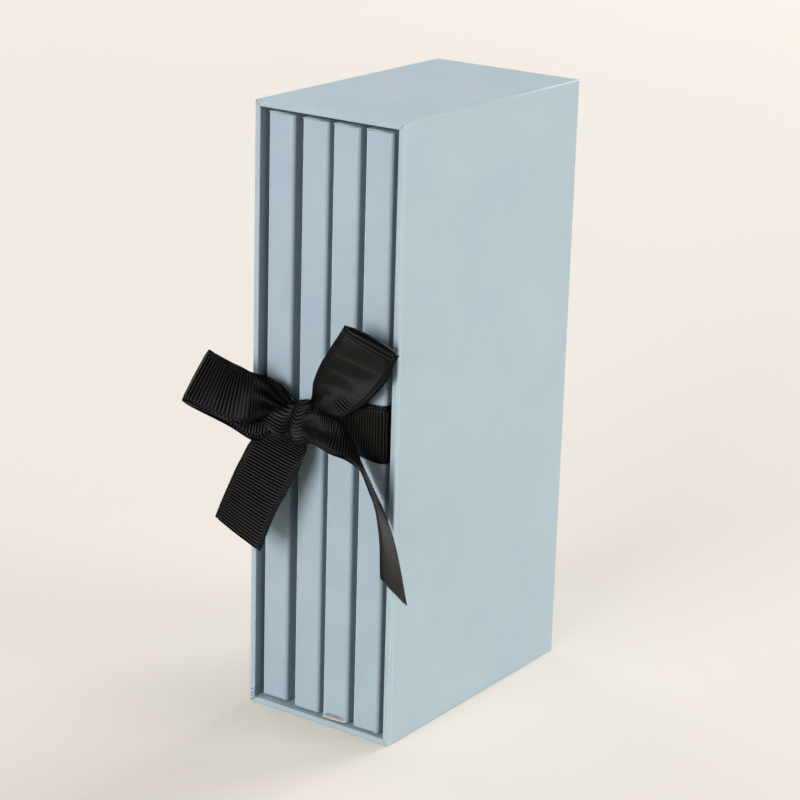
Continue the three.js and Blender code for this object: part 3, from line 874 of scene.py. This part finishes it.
rightTailShares = [
    ((0.12, -0.14, -0.14), (0.14, -0.14, 0.02), 0.0),
    ((0.55, -0.40, -0.18), (0.48, -0.20, 0.28), 0.0),
    ((0.85, -0.62, -0.15), (0.75, -0.25, 0.30), 0.02),
    ((1.24, -0.75, -0.17), (0.98, -0.22, 0.24), 0.04),
    ((1.53, -0.78, -0.18), (1.06, -0.12, 0.07), 0.04),
    ((1.68, -0.74, -0.24), (1.12, 0.02, -0.16), 0.02),
    ((1.79, -0.69, -0.32), (1.20, 0.08, -0.43), 0.0),
    ((1.95, -0.68, -0.60), (1.48, 0.10, -0.92), 0.0),
    ((2.09, -0.68, -0.91), (1.73, 0.10, -1.30), 0.0),
    ((2.19, -0.68, -1.33), (1.97, 0.10, -1.83), 0.0),
    ((2.24, -0.68, -2.09), (2.25, 0.08, -2.81), 0.0),
]
frontSpreadShares = (1, 1, 1, 0.9, 0.65, 0.35)


def buildFrontBand(side):
    low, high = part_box("ribbon_band_front_%s" % side)
    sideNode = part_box("ribbon_band_%s" % side)
    inward = 1 if side == "left" else -1
    middle = (sideNode[0].x + sideNode[1].x) / 2
    frontY = low.y + ribbon["bandInset"]
    radius = ribbon["cornerRadius"]
    endX = high.x if side == "left" else low.x
    start = middle + inward * radius
    route = [(middle, sideNode[0].y), (middle, frontY + radius), (start, frontY),
             ((2 * start + endX) / 3, frontY), ((start + 2 * endX) / 3, frontY), (endX, frontY)]
    centre = (low.z + high.z) / 2
    outward = -1 if side == "left" else 1
    stations = []
    for (x, y), share in zip(route, frontSpreadShares):
        half = share * ribbon["width"] / 2
        stations.append((Vector((x, y, centre + half)), Vector((x, y, centre - half)), 0))
    buildStrip("ribbonFrontBand%s" % side.capitalize(), stations, ["ribbon_band_front_%s" % side],
               ribbon["fineSteps"], "stretched", ribbon["bandPleats"],
               ribbon["bandPleatHeight"], outward)


def buildRearBand():
    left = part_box("ribbon_band_left")
    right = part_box("ribbon_band_right")
    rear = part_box("ribbon_band_back")
    radius = ribbon["cornerRadius"]
    leftX = (left[0].x + left[1].x) / 2
    rightX = (right[0].x + right[1].x) / 2
    backY = rear[1].y - (left[1].x - left[0].x) / 2
    cut = ribbon["cornerShare"] * radius
    route = [(leftX, left[0].y), (leftX, (left[0].y + backY) / 2), (leftX, backY - 2 * radius),
             (leftX + cut, backY - cut), (leftX + 2 * radius, backY), (0, backY),
             (rightX - 2 * radius, backY), (rightX - cut, backY - cut),
             (rightX, backY - 2 * radius), (rightX, (left[0].y + backY) / 2), (rightX, right[0].y)]
    stations = [(Vector((x, y, rear[1].z)), Vector((x, y, rear[0].z)), 0) for x, y in route]
    buildStrip("ribbonRearBand", stations,
               ["ribbon_band_left", "ribbon_band_right", "ribbon_band_back"],
               ribbon["plainSteps"], "stretched",
               ribbon["bandPleats"], ribbon["bandPleatHeight"])


# The knot's wrap passes over the crossing from top to bottom, gathered into two folds. Each row
# gives, from left to right, how far a point of the wrap lies across and in front of the knot's
# middle, how far it hangs below its neighbours and how high it reaches, in shares of the width.
knotWrapShares = [
    (-0.36, 0.06, 0.00, 0.12),
    (-0.56, 0.20, 0.02, 0.14),
    (-0.52, 0.36, 0.04, 0.17),
    (-0.36, 0.38, 0.10, 0.22),
    (-0.14, 0.31, 0.21, 0.26),
    (-0.07, 0.24, 0.19, 0.27),
    (-0.035, 0.20, 0.09, 0.28),
    (0.02, 0.25, 0.07, 0.30),
    (0.10, 0.27, 0.15, 0.32),
    (0.19, 0.24, 0.14, 0.34),
    (0.28, 0.16, 0.07, 0.35),
    (0.33, 0.08, 0.05, 0.35),
    (0.29, 0.02, 0.05, 0.34),
]
knotWrap = {
    "reach": math.radians(140),
    "waistAtBack": 0.7,
    "footInset": 0.10,
    "footFrom": -0.2,
    "footReach": 0.4,
    "spanSteps": 8,
    "measureSteps": 24,
    "measureAt": 0.55,
}


def buildKnot():
    folds = smoothPath([Vector(row[:3]) for row in knotWrapShares], knotWrap["spanSteps"])
    heights = smoothPath([Vector((row[3], 0, 0)) for row in knotWrapShares], knotWrap["spanSteps"])
    lengths = [0]
    for a, b in zip(folds, folds[1:]):
        lengths.append(lengths[-1] + (b - a).length)

    def acrossWrap(place):
        i, t = stepAt(lengths, place * lengths[-1])
        return folds[i - 1].lerp(folds[i], t), heights[i - 1].lerp(heights[i], t).x

    def surface(share):
        angle = knotWrap["reach"] * (1 - 2 * share)
        facing = max(0, math.cos(angle)) ** 0.5
        waist = knotWrap["waistAtBack"] + (1 - knotWrap["waistAtBack"]) * facing
        foot = knotWrap["footInset"] * easeBetween(-math.sin(angle), knotWrap["footFrom"], 1)

        def line(place):
            (across, out, drop), rise = acrossWrap(place)
            x = across * waist + (foot if across < 0 else 0) * -across / knotWrap["footReach"]
            y = -math.cos(angle) * out
            z = math.sin(angle) * rise - drop * facing
            return knotAt + Vector((x, y, z)) * ribbon["width"]
        return line

    count = knotWrap["measureSteps"]
    middle = [surface(i / count)(knotWrap["measureAt"]) for i in range(count + 1)]
    length = sum((b - a).length for a, b in zip(middle, middle[1:]))
    print("knot wrap: %.1f mm long" % (length / mm))
    weaveStrip("ribbonKnotWrap", surface, length, ribbon["fineSteps"], ["ribbon_knot"],
               "gathered")


buildFrontBand("left")
buildFrontBand("right")
buildRearBand()
buildKnot()
# Each arm of the bow: its points, how it is held, the pleats that it falls in and their height
bow = {
    "LeftLoop": (leftLoopShares, "ribbon_left_loop", "folded", 3, 1.4 * mm),
    "RightLoop": (rightLoopShares, "ribbon_right_loop", "folded", 1, 0.9 * mm),
    "LeftTail": (leftTailShares, "ribbon_left_tail", "hung", 2, 0.5 * mm),
    "RightTail": (rightTailShares, "ribbon_right_tail", "hung", 1.5, 0.7 * mm),
}
for arm, (shares, node, held, pleats, pleatHeight) in bow.items():
    buildStrip("ribbon" + arm, fromKnot(shares), [node], ribbon["fineSteps"], held,
               pleats, pleatHeight)
print("ribbon built")


# Studio: a pale floor that fills the view, four soft boxes and a dim surround
studio = {
    "floorSize": 12.0,
    "floorCells": 8,
    "floorPatch": 0.5,
    "surroundLow": 0.03,
    "surroundHigh": 0.3,
    "surroundFull": 0.8,
    "horizonFrom": 0.02,
    "horizonTo": 0.15,
    "surroundColour": "#FFFFFF",
    "floorColour": "#ECE4DB",
    "floorShade": "#E8E0D7",
    "glowColour": "#F7EFE4",
    "glowShare": 0.28,
    "glowFrom": 1.4,
    "glowFull": 2.8,
    "bounceColour": "#A39E98",
    "lampColour": "#FBFDFF",
}
# Where each soft box stands, its width and height in metres, and its power in watts
lamps = {
    "keySoftbox": ((0.0, -4.1, 1.25), (2.4, 2.0), 150.0),
    "sideSoftbox": ((3.7, 1.4, 0.95), (2.2, 1.6), 112.0),
    "backSoftbox": ((0.7, 3.6, 2.7), (2.4, 2.0), 130.0),
    "fillSoftbox": ((-3.4, 1.2, 1.0), (2.0, 1.6), 50.0),
}


# What the camera sees of the floor is paler than the floor that throws light back, and partly an
# even glow, so that it stays pale far from the lamps while it still takes the object's shadow
def makeStudioFloor():
    material, tree, shader = newMaterial("paintedStudioFloor",
                                         {"Roughness": 0.85, "Specular IOR Level": 0.2})
    place = addNode(tree, "TexCoord").outputs["Object"]
    tones = mottle(tree, shader, place, studio["floorColour"], studio["floorShade"],
                   studio["floorPatch"], 2.0)
    glow = addNode(tree, "Emission", {"Color": linear(studio["glowColour"])})
    path = addNode(tree, "LightPath")
    seen = addNode(tree, "Math", {}, {0: path.outputs["Is Camera Ray"], 1: path.outputs["Is Glossy Ray"]},
                   operation="MAXIMUM")
    seen = addNode(tree, "Math", {}, {0: seen.outputs["Value"], 1: path.outputs["Is Transmission Ray"]},
                   operation="MAXIMUM")
    colour = addNode(tree, "Mix", {}, {0: seen.outputs["Value"], 7: tones.outputs["Color"]},
                     data_type="RGBA")
    colour.inputs[6].default_value = linear(studio["bounceColour"])
    tree.links.new(colour.outputs[2], shader.inputs["Base Color"])
    distance = addNode(tree, "VectorMath", {}, {0: place}, operation="LENGTH")
    share = addNode(tree, "MapRange", {"From Min": studio["glowFrom"], "From Max": studio["glowFull"],
                                       "To Min": studio["glowShare"], "To Max": 1.0},
                    {"Value": distance.outputs["Value"]}, interpolation_type="SMOOTHSTEP")
    share = addNode(tree, "Math", {}, {0: seen.outputs["Value"], 1: share.outputs["Result"]},
                    operation="MULTIPLY")
    mixed = addNode(tree, "MixShader", {}, {0: share.outputs["Value"], 1: shader.outputs["BSDF"],
                                            2: glow.outputs["Emission"]})
    tree.links.new(mixed.outputs["Shader"], tree.nodes["Material Output"].inputs["Surface"])
    return material


def addFloor():
    bm = bmesh.new()
    bmesh.ops.create_grid(bm, x_segments=studio["floorCells"], y_segments=studio["floorCells"],
                          size=studio["floorSize"] / 2)
    mesh = bpy.data.meshes.new("studioFloor")
    bm.to_mesh(mesh)
    bm.free()
    mesh.materials.append(makeStudioFloor())
    floor = bpy.data.objects.new("studioFloor", mesh)
    bpy.context.scene.collection.objects.link(floor)


def addLamp(name, place, size, power, target):
    data = bpy.data.lights.new(name, "AREA")
    data.shape = "RECTANGLE"
    data.size, data.size_y = size
    data.energy = power
    data.color = linear(studio["lampColour"])[:3]
    lamp = bpy.data.objects.new(name, data)
    lamp.location = Vector(place)
    lamp.rotation_mode = "QUATERNION"
    lamp.rotation_quaternion = (target - Vector(place)).to_track_quat("-Z", "Y")
    bpy.context.scene.collection.objects.link(lamp)


# The surround is brighter overhead than at the level of the floor. The camera sees a pale backdrop
# instead, and so does what mirrors the horizon.
def addSurround():
    world = bpy.data.worlds.new("studioSurround")
    world.use_nodes = True
    tree = world.node_tree
    direction = addNode(tree, "TexCoord").outputs["Generated"]
    height = addNode(tree, "SeparateXYZ", {}, {"Vector": direction})
    level = addNode(tree, "MapRange", {"From Min": 0.0, "From Max": studio["surroundFull"],
                                       "To Min": studio["surroundLow"], "To Max": studio["surroundHigh"]},
                    {"Value": height.outputs["Z"]}, interpolation_type="SMOOTHSTEP")
    horizon = addNode(tree, "MapRange", {"From Min": studio["horizonFrom"], "From Max": studio["horizonTo"],
                                         "To Min": 1.0, "To Max": 0.0}, {"Value": height.outputs["Z"]})
    path = addNode(tree, "LightPath")
    mirrored = addNode(tree, "Math", {}, {0: path.outputs["Is Glossy Ray"],
                                          1: path.outputs["Is Transmission Ray"]}, operation="MAXIMUM")
    mirrored = addNode(tree, "Math", {}, {0: mirrored.outputs["Value"], 1: horizon.outputs["Result"]},
                       operation="MULTIPLY")
    seen = addNode(tree, "Math", {}, {0: mirrored.outputs["Value"], 1: path.outputs["Is Camera Ray"]},
                   operation="MAXIMUM")
    strength = addNode(tree, "Mix", {3: 1.0}, {0: seen.outputs["Value"], 2: level.outputs["Result"]})
    colour = addNode(tree, "Mix", {}, {0: seen.outputs["Value"]}, data_type="RGBA")
    colour.inputs[6].default_value = linear(studio["surroundColour"])
    colour.inputs[7].default_value = linear(studio["glowColour"])
    background = tree.nodes["Background"]
    tree.links.new(colour.outputs[2], background.inputs["Color"])
    tree.links.new(strength.outputs[0], background.inputs["Strength"])
    bpy.context.scene.world = world


addFloor()
middleOfCase = Vector((0, 0, (cadLow[2] + cadHigh[2]) / 2))
for name, (place, size, power) in lamps.items():
    addLamp(name, place, size, power, middleOfCase)
addSurround()
bpy.context.scene.view_settings.view_transform = "Standard"
print("studio lit")
